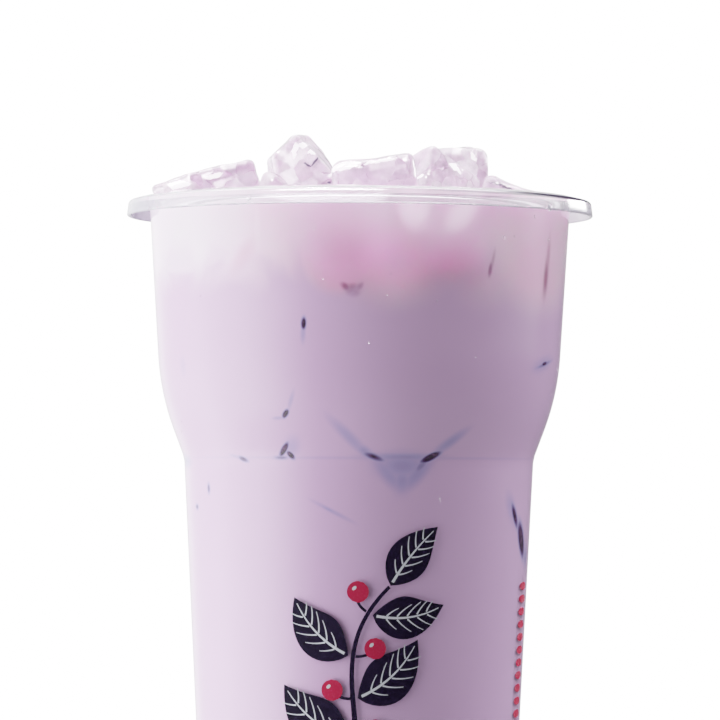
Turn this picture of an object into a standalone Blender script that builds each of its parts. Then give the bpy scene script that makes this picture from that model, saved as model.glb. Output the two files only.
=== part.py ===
"""Iced taro milk tea in a clear plastic cup.

The cup is one turned solid: a ring foot, a tapering lower wall, a crease where the wall steps out
into a wider upper wall, and a flanged rim with a short skirt. The drink fills the cup to just under
the rim. Blocks of ice stand out of it, each in a pocket of its own. Z is up, the origin is the
middle of the foot, and the front of the cup faces -Y.
"""

import math
import random
from typing import NamedTuple

import bmesh
import bpy
from mathutils import Euler, Vector

MM = 0.001

# Cup: heights above the surface that the cup stands on, and radii from its axis
CUP_HEIGHT = 137.0 * MM
RIM_RADIUS = 47.5 * MM
CREASE_HEIGHT = 84.0 * MM
CREASE_RADIUS = 35.6 * MM
WALL = 0.8 * MM
LOWER_TAPER = math.radians(2.87)
UPPER_TAPER = math.radians(3.5)
SHOULDER_SLOPE = math.radians(20.5)
SHOULDER_STRAIGHT = 5.9 * MM
SHOULDER_BEND = 52.0 * MM
CREASE_BLEND = 0.7 * MM

# Foot and base plate
FOOT_ROUNDING = 2.4 * MM
FOOT_RING_WIDTH = 1.6 * MM
BASE_RECESS = 1.4 * MM
BASE_PLATE = 1.2 * MM
FLOOR_ROUNDING = 3.0 * MM

# Rim: a crown round the mouth, a flange that slopes away from it, and a skirt that hangs from it
CROWN_WIDTH = 0.8 * MM
LIP_ROUNDING = 0.9 * MM
FLANGE_DROP = 0.6 * MM
FLANGE_THICKNESS = 1.2 * MM
SKIRT_HEIGHT = 3.2 * MM
SKIRT_THICKNESS = 0.8 * MM
SKIRT_FLARE = 0.25 * MM
SKIRT_ROUNDING = 0.9 * MM

# Drink
DRINK_LEVEL = 135.9 * MM
FIT_GAP = 0.3 * MM

# Smoothness
TURN_STEPS = 56
BEND_STEPS = 3
WELD = 0.01 * MM


class Ice(NamedTuple):
    """One block of ice: its sides, its middle, how it is turned, and how far its edges have melted."""

    name: str
    sides: tuple  # mm, before it is turned
    middle: tuple  # mm
    turned: tuple  # degrees about X, Y and Z, the turn about Z first
    melt: float = 2.2  # mm, the width of the rounded edges
    broken: tuple = ()  # broken faces: for each, a point on it in mm, and the direction it faces


# The blocks that show over the front of the rim, from left to right, then those behind and before them
ICE = (
    Ice("ice_left_slab", (24.5, 17.0, 12.6), (-31.2, -1.0, 135.7), (0, -13, 3), 1.4,
        (((-42.0, 0, 138.0), (-0.75, 0, -0.66)), ((-36.0, 0, 142.0), (-0.35, -0.1, 0.93)))),
    Ice("ice_chip", (4.6, 5.5, 8.0), (-18.2, -14.5, 137.0), (18, 24, 20), 1.1),
    Ice("ice_tall", (13.0, 10.6, 19.6), (-11.6, -3.2, 140.2), (4, -3, 12), 1.9,
        (((-15.2, -3, 148.4), (-0.69, -0.1, 0.72)), ((-9.0, -3, 147.1), (0.74, -0.2, 0.67)))),
    Ice("ice_centre_slab", (17.0, 9.0, 10.0), (2.9, -17.2, 139.2), (6, -8, 3), 1.8),
    Ice("ice_ridge", (9.0, 9.0, 12.0), (0.6, 9.0, 139.2), (12, 24, 38), 1.2),
    Ice("ice_corner", (15.6, 15.6, 19.0), (13.8, -3.5, 134.3), (-27, 7, 42), 1.2),
    Ice("ice_rear_block", (12.5, 12.0, 15.0), (19.6, 17.0, 140.8), (4, -3, 14), 1.8),
    Ice("ice_right_slab", (13.0, 14.0, 8.5), (31.4, 4.5, 135.6), (0, 20, -14), 1.2),
    Ice("ice_back_left", (15.6, 13.0, 13.0), (-25.0, 20.4, 134.2), (9, 6, -32), 2.4),
    Ice("ice_middle_left", (9.0, 9.0, 12.0), (-11.8, 11.4, 135.0), (-14, -8, 24), 2.0),
    Ice("ice_back", (16.6, 14.0, 14.0), (-5.0, 28.0, 135.0), (-10, 12, 12), 2.2),
    Ice("ice_back_right", (14.0, 9.8, 12.0), (14.0, 31.2, 134.4), (8, -14, -16), 1.8),
    Ice("ice_far_right", (7.6, 9.0, 12.0), (31.2, 18.6, 133.2), (-6, 10, 20), 1.8),
    Ice("ice_front_left", (19.0, 11.0, 15.0), (-24.6, -22.9, 129.4), (3, 2, -47), 2.0),
    Ice("ice_front", (17.0, 10.0, 20.0), (-3.0, -33.9, 127.3), (0, 0, -5), 2.2,
        (((-11.5, -34, 125.0), (-0.7, 0, -0.7)), ((5.5, -34, 127.0), (0.8, 0, -0.6)))),
    Ice("ice_front_right", (14.4, 10.0, 16.0), (15.9, -29.8, 129.4), (2, -5, 28), 2.0),
    Ice("ice_side_right", (13.0, 10.0, 19.0), (28.9, -16.7, 127.8), (-2, 4, 60), 2.2),
)
ICE_SKEW = 0.05  # how far a corner strays from a true box, as a share of the side
ICE_SEED = 11


def crease_offset(z):
    """Height above the crease."""
    return z - CREASE_HEIGHT


def shoulder_bend():
    """Centre (radius, height) of the arc that turns the shoulder's slope into the upper taper."""
    start_r = CREASE_RADIUS + SHOULDER_STRAIGHT * math.tan(SHOULDER_SLOPE)
    start_z = CREASE_HEIGHT + SHOULDER_STRAIGHT
    return (start_r - SHOULDER_BEND * math.cos(SHOULDER_SLOPE),
            start_z + SHOULDER_BEND * math.sin(SHOULDER_SLOPE))


def bend_end():
    """(radius, height) where the shoulder's arc runs into the straight upper wall."""
    centre_r, centre_z = shoulder_bend()
    return (centre_r + SHOULDER_BEND * math.cos(UPPER_TAPER),
            centre_z - SHOULDER_BEND * math.sin(UPPER_TAPER))


def wall_radius(z):
    """Radius of the cup's outer wall at a height, between the foot and the rim."""
    end_r, end_z = bend_end()
    if z <= CREASE_HEIGHT:
        return CREASE_RADIUS + crease_offset(z) * math.tan(LOWER_TAPER)
    if z <= CREASE_HEIGHT + SHOULDER_STRAIGHT:
        return CREASE_RADIUS + crease_offset(z) * math.tan(SHOULDER_SLOPE)
    if z <= end_z:
        centre_r, centre_z = shoulder_bend()
        return centre_r + math.sqrt(SHOULDER_BEND ** 2 - (centre_z - z) ** 2)
    return end_r + (z - end_z) * math.tan(UPPER_TAPER)


def arc(centre, radius, start, end, steps):
    """Points of an arc in the (radius, height) plane, its angles in degrees from the outward direction."""
    turns = [math.radians(start + (end - start) * i / steps) for i in range(steps + 1)]
    return [(centre[0] + radius * math.cos(a), centre[1] + radius * math.sin(a)) for a in turns]


def wall_heights(bottom, top):
    """Heights, bottom to top, at which a wall that follows the cup's needs a point."""
    _, end_z = bend_end()
    start_z = CREASE_HEIGHT + SHOULDER_STRAIGHT
    bend = [start_z + (end_z - start_z) * i / BEND_STEPS for i in range(BEND_STEPS + 1)]
    return [bottom, CREASE_HEIGHT - CREASE_BLEND, CREASE_HEIGHT + CREASE_BLEND, *bend, top]


def wall_line(bottom, top, inset):
    """Points of a wall set in from the cup's outer wall, bottom to top."""
    return [(wall_radius(z) - inset, z) for z in wall_heights(bottom, top)]


def foot_line():
    """Underside and foot: from the axis across the recessed base and round the ring foot."""
    outer = wall_radius(FOOT_ROUNDING)
    stands_out = outer - FOOT_ROUNDING
    stands_in = stands_out - FOOT_RING_WIDTH
    rounded = arc((stands_out, FOOT_ROUNDING), FOOT_ROUNDING, -90, 0, 4)
    return [(0, BASE_RECESS), (stands_in - BASE_RECESS, BASE_RECESS), (stands_in, 0), *rounded[:-1]]


def rim_line():
    """Rim: under the flange, round the skirt, up over its corner, across the crown and into the mouth."""
    flange_top = CUP_HEIGHT - FLANGE_DROP
    under = flange_top - FLANGE_THICKNESS
    skirt_bottom = flange_top - SKIRT_HEIGHT
    mouth = wall_radius(CUP_HEIGHT) - WALL
    skirt_inner = RIM_RADIUS - SKIRT_THICKNESS
    half_skirt = SKIRT_THICKNESS / 2
    corner = (RIM_RADIUS - SKIRT_FLARE - SKIRT_ROUNDING, flange_top - SKIRT_ROUNDING)
    lip = (mouth + LIP_ROUNDING, CUP_HEIGHT - LIP_ROUNDING)
    return [
        (wall_radius(under) + half_skirt, under),
        (skirt_inner - half_skirt, under),
        (skirt_inner, skirt_bottom + half_skirt),
        *arc((RIM_RADIUS - half_skirt, skirt_bottom + half_skirt), half_skirt, -135, 0, 3),
        *arc(corner, SKIRT_ROUNDING, 0, 80, 3),
        (lip[0] + CROWN_WIDTH, CUP_HEIGHT),
        *arc(lip, LIP_ROUNDING, 90, 180, 3),
    ]


def floor_line(level, radius):
    """Inner floor from the wall to the axis, with a rounded corner of its own."""
    corner = (radius - FLOOR_ROUNDING, level + FLOOR_ROUNDING)
    return [*arc(corner, FLOOR_ROUNDING, 0, -90, 3), (0, level)]


def cup_profile():
    """Closed outline of the cup's section, starting and ending on the axis."""
    flange_under = CUP_HEIGHT - FLANGE_DROP - FLANGE_THICKNESS
    outer = wall_line(FOOT_ROUNDING, flange_under - SKIRT_THICKNESS, 0)
    floor_level = BASE_RECESS + BASE_PLATE
    corner_height = floor_level + FLOOR_ROUNDING
    inner = wall_line(corner_height, CUP_HEIGHT - 2 * LIP_ROUNDING, WALL)[::-1]
    floor = floor_line(floor_level, inner[-1][0])
    return [*foot_line(), *outer, *rim_line(), *inner[:-1], *floor]


def drink_profile():
    """Outline of the drink's section: its floor, its side a gap within the cup's wall, and its level."""
    inset = WALL + FIT_GAP
    floor_level = BASE_RECESS + BASE_PLATE + FIT_GAP
    side = wall_line(floor_level + FLOOR_ROUNDING, DRINK_LEVEL, inset)
    floor = floor_line(floor_level, side[0][0])[::-1]
    return [*floor[:-1], *side, (0, DRINK_LEVEL)]


def material(name, colour, roughness, clear=0.0):
    """A Principled material with the finish that the piece has."""
    made = bpy.data.materials.new(name)
    made.use_nodes = True
    shader = made.node_tree.nodes["Principled BSDF"]
    shader.inputs["Base Color"].default_value = (*colour, 1.0)
    shader.inputs["Roughness"].default_value = roughness
    shader.inputs["Metallic"].default_value = 0.0
    shader.inputs["Transmission Weight"].default_value = clear
    return made


def finished_object(name, shape, finish, smooth_below=40):
    """Turns a bmesh into an object of the scene, its faces shaded smooth but for its sharp edges."""
    mesh = bpy.data.meshes.new(name)
    bmesh.ops.recalc_face_normals(shape, faces=shape.faces)
    shape.to_mesh(mesh)
    shape.free()
    mesh.shade_smooth()
    mesh.set_sharp_from_angle(angle=math.radians(smooth_below))
    mesh.materials.append(finish)
    made = bpy.data.objects.new(name, mesh)
    bpy.context.scene.collection.objects.link(made)
    return made


def turned_shape(profile):
    """Spins an outline that starts and ends on the axis into a closed shape."""
    shape = bmesh.new()
    points = [shape.verts.new((r, 0, z)) for r, z in profile]
    line = [shape.edges.new(pair) for pair in zip(points, points[1:])]
    bmesh.ops.spin(shape, geom=points + line, axis=(0, 0, 1), cent=(0, 0, 0),
                   steps=TURN_STEPS, angle=2 * math.pi, use_merge=True)
    bmesh.ops.remove_doubles(shape, verts=shape.verts, dist=WELD)
    return shape


def ice_shape(block, chance):
    """A melted box: its corners stray a little, parts may be broken off it, and its edges are rounded."""
    shape = bmesh.new()
    bmesh.ops.create_cube(shape, size=1.0)
    for corner in shape.verts:
        stray = Vector([chance.uniform(-ICE_SKEW, ICE_SKEW) for _ in range(3)])
        corner.co = (corner.co + stray) * Vector(block.sides) * MM
    bmesh.ops.rotate(shape, verts=shape.verts,
                     matrix=Euler([math.radians(a) for a in block.turned], "ZYX").to_matrix())
    bmesh.ops.translate(shape, verts=shape.verts, vec=Vector(block.middle) * MM)
    for point, facing in block.broken:
        cut = bmesh.ops.bisect_plane(shape, geom=[*shape.verts, *shape.edges, *shape.faces],
                                     plane_co=Vector(point) * MM, plane_no=Vector(facing),
                                     clear_outer=True)
        rim = [part for part in cut["geom_cut"] if isinstance(part, bmesh.types.BMEdge)]
        bmesh.ops.contextual_create(shape, geom=rim)
    bmesh.ops.bevel(shape, geom=list(shape.edges), offset=block.melt * MM, segments=2,
                    profile=0.5, affect="EDGES", material=-1, clamp_overlap=True)
    return shape


def pocket_cutter(ice):
    """A copy of an ice block grown by the gap, which cuts the block's pocket from the drink."""
    grown = bmesh.new()
    grown.from_mesh(ice.data)
    grown.normal_update()
    outward = [(point, point.normal.copy()) for point in grown.verts]
    for point, direction in outward:
        point.co += direction * FIT_GAP
    cutter = finished_object(ice.name + "_pocket", grown, ice.data.materials[0])
    cutter.hide_render = True
    cutter.display_type = "WIRE"
    return cutter


def build_cup():
    clear_plastic = material("clear_plastic", (0.93, 0.93, 0.95), 0.08, clear=1.0)
    return finished_object("cup", turned_shape(cup_profile()), clear_plastic)


def build_ice():
    frozen = material("ice", (0.90, 0.85, 0.90), 0.12, clear=0.9)
    chance = random.Random(ICE_SEED)
    return [finished_object(block.name, ice_shape(block, chance), frozen) for block in ICE]


def build_drink(blocks):
    milky = material("taro_milk_tea", (0.63, 0.50, 0.63), 0.35)
    drink = finished_object("drink", turned_shape(drink_profile()), milky)
    for block in blocks:
        pocket = drink.modifiers.new(block.name, "BOOLEAN")
        pocket.operation = "DIFFERENCE"
        pocket.object = pocket_cutter(block)
    return drink


def main():
    for old in list(bpy.data.objects):
        bpy.data.objects.remove(old, do_unlink=True)
    build_cup()
    build_drink(build_ice())


main()
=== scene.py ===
# %% [markdown]
# # Iced taro milk tea, dressed for its picture
#
# The imported model already holds the real sizes: a clear plastic cup, the tea that fills it and seventeen
# blocks of ice that stand out of the tea. This notebook keeps those places and gives each of them the
# surface that the real one shows. It starts by loading the imported model.

# %% Load the imported model
import math
import random
from typing import NamedTuple

import bmesh
import bpy
from mathutils import Matrix, Vector, noise
from mathutils.bvhtree import BVHTree


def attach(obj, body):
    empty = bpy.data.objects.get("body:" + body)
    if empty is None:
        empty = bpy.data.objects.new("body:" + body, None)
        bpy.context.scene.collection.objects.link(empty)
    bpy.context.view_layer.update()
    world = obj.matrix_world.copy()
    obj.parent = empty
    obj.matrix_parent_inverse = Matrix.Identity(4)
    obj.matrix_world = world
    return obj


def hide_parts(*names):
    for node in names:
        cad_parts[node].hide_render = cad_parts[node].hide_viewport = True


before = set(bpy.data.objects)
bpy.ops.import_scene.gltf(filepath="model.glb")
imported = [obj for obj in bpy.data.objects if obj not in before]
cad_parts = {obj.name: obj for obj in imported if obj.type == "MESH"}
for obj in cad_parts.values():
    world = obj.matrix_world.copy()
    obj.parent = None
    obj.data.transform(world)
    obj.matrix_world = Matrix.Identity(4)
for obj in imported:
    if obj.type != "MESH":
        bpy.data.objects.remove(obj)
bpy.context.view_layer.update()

MM = 0.001


print("pieces in the packed model:", len(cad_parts))

# %% [markdown]
# ## The camera
#
# A camera at the height of a ring round a cup sees that ring as a straight line. Here that is the crease
# round the cup's middle, so the camera stands at the crease's height. It is tilted up a little to bring
# the ice into the frame, and leans by a quarter of a degree. It stands far off with a long lens, which
# keeps the sides of the cup nearly parallel.

# %% Camera
CREASE_HEIGHT = 84.0 * MM
EYE_DISTANCE = 818.0 * MM
EYE_SIDESTEP = 0.14 * MM
FRAME_WIDTH = 146.9 * MM  # what the picture takes in at the cup's axis
TILT_UP = math.radians(1.41)
LEAN = math.radians(0.23)
SENSOR = 36.0


def add_camera():
    """Makes the camera, which looks along +Y, and returns its lens in mm."""
    lens = bpy.data.cameras.new("camera")
    lens.sensor_width = SENSOR
    lens.lens = SENSOR * EYE_DISTANCE / FRAME_WIDTH
    camera = bpy.data.objects.new("camera", lens)
    bpy.context.scene.collection.objects.link(camera)
    aimed = Matrix.Rotation(math.radians(90) + TILT_UP, 4, "X") @ Matrix.Rotation(LEAN, 4, "Z")
    camera.matrix_world = Matrix.Translation((EYE_SIDESTEP, -EYE_DISTANCE, CREASE_HEIGHT)) @ aimed
    bpy.context.scene.camera = camera
    return lens.lens


print("lens in mm:", round(add_camera(), 1))

# %% [markdown]
# ## Shaders as expressions
#
# Blender's shaders are graphs of nodes. A long graph is easier to read as arithmetic, so one small class
# wraps the output of a node, and Python's operators on it add Math nodes. Every other node comes from
# its `node` method. Colours go through Mix, because a Math node would turn them grey. Each finish is then
# a function that takes the start of a graph and gives back a shader.


# %% A wire between nodes
class Wire:
    """The output of a node, for use in expressions. One without an output only starts a graph."""

    def __init__(self, tree, socket=None):
        self.tree = tree
        self.socket = socket

    def node(self, kind, settings=None, inputs=None, output=0):
        """Adds a node: its settings come first, then its inputs, each a plain value or a wire."""
        made = self.tree.nodes.new("ShaderNode" + kind)
        for name, value in (settings or {}).items():
            setattr(made, name, value)
        for name, value in (inputs or {}).items():
            if isinstance(value, Wire):
                self.tree.links.new(value.socket, made.inputs[name])
            else:
                made.inputs[name].default_value = value
        return Wire(self.tree, made.outputs[output] if made.outputs else None)

    def beside(self, output):
        """Another output of the same node."""
        return Wire(self.tree, self.socket.node.outputs[output])

    def math(self, operation, *values):
        """Adds a Math node, which works on each value or wire in turn."""
        return self.node("Math", {"operation": operation}, dict(enumerate(values)))

    def __add__(self, other):
        return self.math("ADD", self, other)

    def __radd__(self, other):
        return self.math("ADD", other, self)

    def __sub__(self, other):
        return self.math("SUBTRACT", self, other)

    def __rsub__(self, other):
        return self.math("SUBTRACT", other, self)

    def __mul__(self, other):
        return self.math("MULTIPLY", self, other)

    def __rmul__(self, other):
        return self.math("MULTIPLY", other, self)

    def __truediv__(self, other):
        return self.math("DIVIDE", self, other)

    def __neg__(self):
        return self.math("MULTIPLY", self, -1.0)

    def step(self, start, end, low=0.0, high=1.0):
        """Goes smoothly from low to high while this wire goes from start to end."""
        inputs = {"Value": self, "From Min": start, "From Max": end, "To Min": low, "To Max": high}
        return self.node("MapRange", {"interpolation_type": "SMOOTHSTEP"}, inputs)

    def noise(self, size, detail=2.0, roughness=0.5, warp=0.0):
        """Noise from 0 to 1 whose features are about this size in metres."""
        inputs = {"Vector": self, "Scale": 1.0 / size, "Detail": detail, "Roughness": roughness,
                  "Distortion": warp}
        return self.node("TexNoise", None, inputs)

    def bump(self):
        """Bends the normal as if the surface stood out by this wire, in metres."""
        return self.node("Bump", None, {"Strength": 1.0, "Distance": 1.0, "Height": self})

    def axis(self, name):
        """One coordinate of this vector."""
        return self.node("SeparateXYZ", None, {0: self}, name)

    def turn(self):
        """How far this place or direction is round to the right of the front, in radians."""
        return self.math("ARCTAN2", self.axis("X"), -self.axis("Y"))


print("a wire takes + - * / and makes a node of each")


# %% Shaders and materials
def most(first, *others):
    """The largest of several values, the first of them a wire."""
    for other in others:
        first = first.math("MAXIMUM", first, other)
    return first


MIX_FACTOR, MIX_FIRST, MIX_SECOND, MIX_RESULT = 0, 6, 7, 2  # the Mix node's sockets for colours


def blended(factor, first, second, blend="MIX"):
    """Two colours mixed by a factor. Each of the three is a wire or plain, and at least one is a wire."""
    wire = next(value for value in (factor, first, second) if isinstance(value, Wire))
    first, second = (c if isinstance(c, Wire) else (*c, 1.0) for c in (first, second))
    inputs = {MIX_FACTOR: factor, MIX_FIRST: first, MIX_SECOND: second}
    return wire.node("Mix", {"data_type": "RGBA", "blend_type": blend}, inputs, MIX_RESULT)


def material(name, shading):
    """A material whose shader is made by a function from the wire that starts its graph."""
    made = bpy.data.materials.new(name)
    made.use_nodes = True
    made.node_tree.nodes.clear()
    start = Wire(made.node_tree)
    start.node("OutputMaterial", None, {"Surface": shading(start)})
    return made


def principled(start, **sockets):
    """A Principled shader. A socket's name is written with underscores for its spaces."""
    return start.node("BsdfPrincipled", None, {k.replace("_", " "): v for k, v in sockets.items()})


def lit_through(start, glass, tint=(0.97, 0.97, 0.97)):
    """Glass that lets light reach what it encloses: shadow rays and diffuse rays go straight through."""
    shader = glass
    clear = start.node("BsdfTransparent", None, {"Color": (*tint, 1.0)})
    for ray in ("Is Diffuse Ray", "Is Shadow Ray"):
        passes = start.node("LightPath", output=ray)
        shader = start.node("MixShader", None, {0: passes, 1: shader, 2: clear})
    return shader


def object_place(start):
    """The place of the surface in metres, as the piece was made."""
    return start.node("TexCoord", output="Object")


print("materials are written as expressions")

# %% [markdown]
# ## Studio light without lamps
#
# Glossy plastic shows the room it stands in, so the light is painted on the sky as panels, each a patch
# of directions: a tall softbox on the left, a weak strip on the right, a ceiling and a backdrop. The
# panels give the long soft gradient across the tea and are also what the plastic and the ice reflect.
# Two small bright ones are seen in reflections only, and make the glints on the ice and the rim. A panel
# of less than no light takes a part of the softbox out of the reflections, as a polarising filter does,
# so that dark marks on the left stay dark. The camera itself sees plain white behind the cup, also straight
# through the clear plastic and the ice.


# %% Light panels
class Panel(NamedTuple):
    """A patch of the studio that gives light, as seen from the cup."""

    turn: float  # degrees round from the camera, to its right
    reach: float  # half its width, in degrees
    fade: float  # half of the stretch over which its sides fade out, in degrees
    low: float  # degrees above the horizon
    high: float
    edge: float  # half of the stretch over which its top and bottom fade out
    light: float


PANELS = {
    "softbox on the left": Panel(-86, 38, 25, -34, 4, 14, 1.72),
    "the softbox's upper half": Panel(-80, 34, 22, 4, 50, 10, 0.88),
    "strip on the right": Panel(100, 19, 9, 4, 48, 9, 1.6),
    "bank above and behind": Panel(180, 70, 14, 50, 62, 4, 3.6),
    "ceiling": Panel(0, 200, 9, 78, 100, 8, 0.28),
    "backdrop": Panel(-166, 24, 12, -30, 40, 14, 0.24),
    "backdrop's left side": Panel(-146, 20, 14, -24, 20, 14, 0.36),
    "table": Panel(0, 200, 9, -100, -24, 14, 0.07),
}
ROOM = 0.0215  # light from everywhere else
GLINTS = {
    "window on the right": Panel(138, 12, 1.5, 4.5, 12, 1, 7.0),
    "key light above the camera": Panel(-20, 34, 6, 36, 66, 5, 30.0),
    "what a filter takes off the softbox's shine": Panel(-86, 38, 25, -34, 4, 14, -0.4),
}
BEHIND = (140, 165)  # degrees round from the camera between which the white behind the cup begins
LEVEL = (30, 15)  # degrees above or below the horizon between which it begins
BENT = 0.2  # the least that is seen through plastic or ice, where it bends the view off the white
SEEN_THROUGH = (0.97, 0.94, 1.0)


def panel_light(start, turn, rise, panels):
    """The light that the panels give from a direction."""
    light = 0.0
    for panel in panels:
        off = start.math("ABSOLUTE", start.math("WRAP", turn - panel.turn, 180.0, -180.0))
        inside = off.step(panel.reach + panel.fade, panel.reach - panel.fade)
        above = rise.step(panel.low - panel.edge, panel.low + panel.edge)
        below = rise.step(panel.high + panel.edge, panel.high - panel.edge)
        light = light + inside * above * below * panel.light
    return light


def add_studio():
    """Paints the world and returns how many nodes that takes."""
    world = bpy.data.worlds.new("studio")
    world.use_nodes = True
    world.node_tree.nodes.clear()
    bpy.context.scene.world = world
    start = Wire(world.node_tree)
    ahead = start.node("TexCoord", output="Generated")
    turn = ahead.turn() * math.degrees(1)
    rise = start.math("ARCSINE", ahead.axis("Z")) * math.degrees(1)
    rays = start.node("LightPath", output="Is Camera Ray")
    glints = panel_light(start, turn, rise, GLINTS.values()) * rays.beside("Is Glossy Ray")
    light = most(panel_light(start, turn, rise, PANELS.values()) + glints, 0.0) + ROOM
    behind = start.math("ABSOLUTE", turn).step(*BEHIND) * start.math("ABSOLUTE", rise).step(*LEVEL)
    through = rays.beside("Is Transmission Ray") * behind.step(0, 1, BENT, 1)
    colour = blended(rays.beside("Is Transmission Ray"), (1, 1, 1), SEEN_THROUGH)
    shown = start.node("Background", None, {"Color": colour, "Strength": most(light, rays, through)})
    start.node("OutputWorld", None, {"Surface": shown})
    return len(world.node_tree.nodes)


print("nodes in the studio:", add_studio())

# %% [markdown]
# A narrow lamp high up behind the cup shines on the ice and the open tea only, like a spot with a tube
# on it. It makes the ice sparkle, and lights the watery tea under the ice from above.

# %% Top lamp
LAMP_PLACE = Vector((-0.10, 0.22, 0.85))
LAMP_AIM = Vector((0, 0, 0.135))
LAMP_WIDTH = 0.06
LAMP_POWER = 8.0
LAMP_CONE = 0.108  # how wide the light is where it reaches the cup, in metres
LAMP_FADE = 0.3  # how much of the cone is its soft edge


def add_lamp():
    """Adds the lamp above the cup and returns the width of its cone in degrees."""
    lamp = bpy.data.lights.new("top lamp", "SPOT")
    lamp.energy = LAMP_POWER
    lamp.shadow_soft_size = LAMP_WIDTH / 2
    lamp.spot_size = 2 * math.atan(LAMP_CONE / 2 / (LAMP_PLACE - LAMP_AIM).length)
    lamp.spot_blend = LAMP_FADE
    holder = bpy.data.objects.new("top lamp", lamp)
    bpy.context.scene.collection.objects.link(holder)
    aimed = (LAMP_AIM - LAMP_PLACE).to_track_quat("-Z", "Y").to_matrix().to_4x4()
    holder.matrix_world = Matrix.Translation(LAMP_PLACE) @ aimed
    return math.degrees(lamp.spot_size)


print("the lamp's cone in degrees:", round(add_lamp(), 1))

# %% [markdown]
# ## Tone
#
# Film bends bright tones over gently: the lit side of a lilac drink turns nearly white while its shaded
# side keeps its colour. Blender's Standard view clips instead, so a curve with a long shoulder is laid
# over it. White stays white, so the backdrop is clean.

# %% Tone curve
SHOULDER = 0.15  # the light at which the curve has bent halfway over
CURVE_STEPS = 14
CURVE_CROWDING = 2.5  # how much closer together the curve's points are in the dark tones
ALL_CHANNELS = 3  # which of the four curves bends red, green and blue alike


def film(light):
    """How bright a light looks on film, both from 0 to 1."""
    return light * (1 + SHOULDER) / (light + SHOULDER)


def set_tone():
    """Lays the film's curve over Blender's Standard view."""
    view = bpy.context.scene.view_settings
    view.view_transform = "Standard"
    view.look = "None"
    view.use_curve_mapping = True
    curve = view.curve_mapping.curves[ALL_CHANNELS]
    for i in range(1, CURVE_STEPS):
        light = (i / CURVE_STEPS) ** CURVE_CROWDING
        curve.points.new(light, film(light))
    view.curve_mapping.update()


set_tone()
print("mid grey 0.18 is shown as", round(film(0.18), 3))

# %% [markdown]
# ## Turning meshes into pieces
#
# Every mesh below ends in the same few steps: it becomes an object at the origin, with its place in its
# vertices, rides on the drink's one body, takes its materials and hides any imported piece that it stands
# for. The floor isn't part of the object, so it only becomes an object of the scene.


# %% From a bmesh to a piece
SHARP_FROM = math.radians(35)


def new_object(name, shape, finishes):
    """An object of the scene from a bmesh, shaded smooth except across its sharp edges."""
    mesh = bpy.data.meshes.new(name)
    shape.to_mesh(mesh)
    shape.free()
    mesh.shade_smooth()
    mesh.set_sharp_from_angle(angle=SHARP_FROM)
    for finish in finishes:
        mesh.materials.append(finish)
    made = bpy.data.objects.new(name, mesh)
    bpy.context.scene.collection.objects.link(made)
    return made


def piece(name, shape, slot, *finishes, stands_for=()):
    """Adds a piece of the drink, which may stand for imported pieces."""
    made = new_object(name, shape, finishes)
    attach(made, "root")
    if stands_for:
        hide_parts(*stands_for)
    made.data.calc_loop_triangles()
    print(name, "has", len(made.data.loop_triangles), "triangles")


print("an edge looks sharp from", round(math.degrees(SHARP_FROM)), "degrees")

# %% [markdown]
# ## The floor
#
# A round pale sheet, whose edge fades out so that no line shows where it ends. A disc needs only a
# circle operator. White paper so close to the cup would be mirrored under its shoulder as a bright band
# with an edge, so only the camera sees the sheet, and the light from below comes from the studio's table.

# %% Floor
FLOOR_RADIUS = 0.44
FLOOR_FADE = 0.2
FLOOR_GLOW = 0.3


def white_paper(start):
    """White paper that fades out towards the sheet's edge and is seen by the camera only."""
    place = object_place(start)
    grain = place.noise(2 * MM, detail=3)
    sheet = principled(start, Base_Color=blended(grain, (0.88, 0.88, 0.88), (0.92, 0.92, 0.92)),
                       Roughness=0.7, Emission_Color=(1, 1, 1, 1), Emission_Strength=FLOOR_GLOW)
    away = start.node("VectorMath", {"operation": "LENGTH"}, {0: place}, "Value")
    there = away.step(FLOOR_RADIUS, FLOOR_RADIUS - FLOOR_FADE)
    shown = there * start.node("LightPath", output="Is Camera Ray")
    return start.node("MixShader", None, {0: shown, 1: start.node("BsdfTransparent"), 2: sheet})


def add_floor():
    """Adds the white floor, which is no part of the object."""
    shape = bmesh.new()
    bmesh.ops.create_circle(shape, cap_ends=True, segments=96, radius=FLOOR_RADIUS)
    new_object("floor", shape, [material("paper white", white_paper)])


add_floor()
print("floor radius in m:", FLOOR_RADIUS)

# %% [markdown]
# ## The cup's wall
#
# The cup is a thin wall turned about its axis: it tapers up to a crease, steps out over a shoulder and
# goes on, a little steeper, to a flanged rim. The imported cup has 56 flat sides, which plastic would show
# as facets. A finer copy is spun from the same outline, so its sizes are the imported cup's. The outline
# is written as a radius for each height, because the tea, the print and the drops follow it too.

# %% The wall's outline
CUP_HEIGHT = 137.0 * MM
RIM_RADIUS = 47.5 * MM
CREASE_RADIUS = 35.6 * MM
WALL = 0.8 * MM
LOWER_TAPER = math.radians(2.87)
UPPER_TAPER = math.radians(3.5)
SHOULDER_SLOPE = math.radians(20.5)
SHOULDER_STRAIGHT = 5.9 * MM
SHOULDER_BEND = 52.0 * MM
CREASE_BLEND = 0.7 * MM


def shoulder_bend():
    """Centre (radius, height) of the arc that turns the shoulder's slope into the upper taper."""
    start_r = CREASE_RADIUS + SHOULDER_STRAIGHT * math.tan(SHOULDER_SLOPE)
    start_z = CREASE_HEIGHT + SHOULDER_STRAIGHT
    return (start_r - SHOULDER_BEND * math.cos(SHOULDER_SLOPE),
            start_z + SHOULDER_BEND * math.sin(SHOULDER_SLOPE))


def bend_end():
    """(radius, height) where the shoulder's arc runs into the straight upper wall."""
    centre_r, centre_z = shoulder_bend()
    return (centre_r + SHOULDER_BEND * math.cos(UPPER_TAPER),
            centre_z - SHOULDER_BEND * math.sin(UPPER_TAPER))


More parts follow.
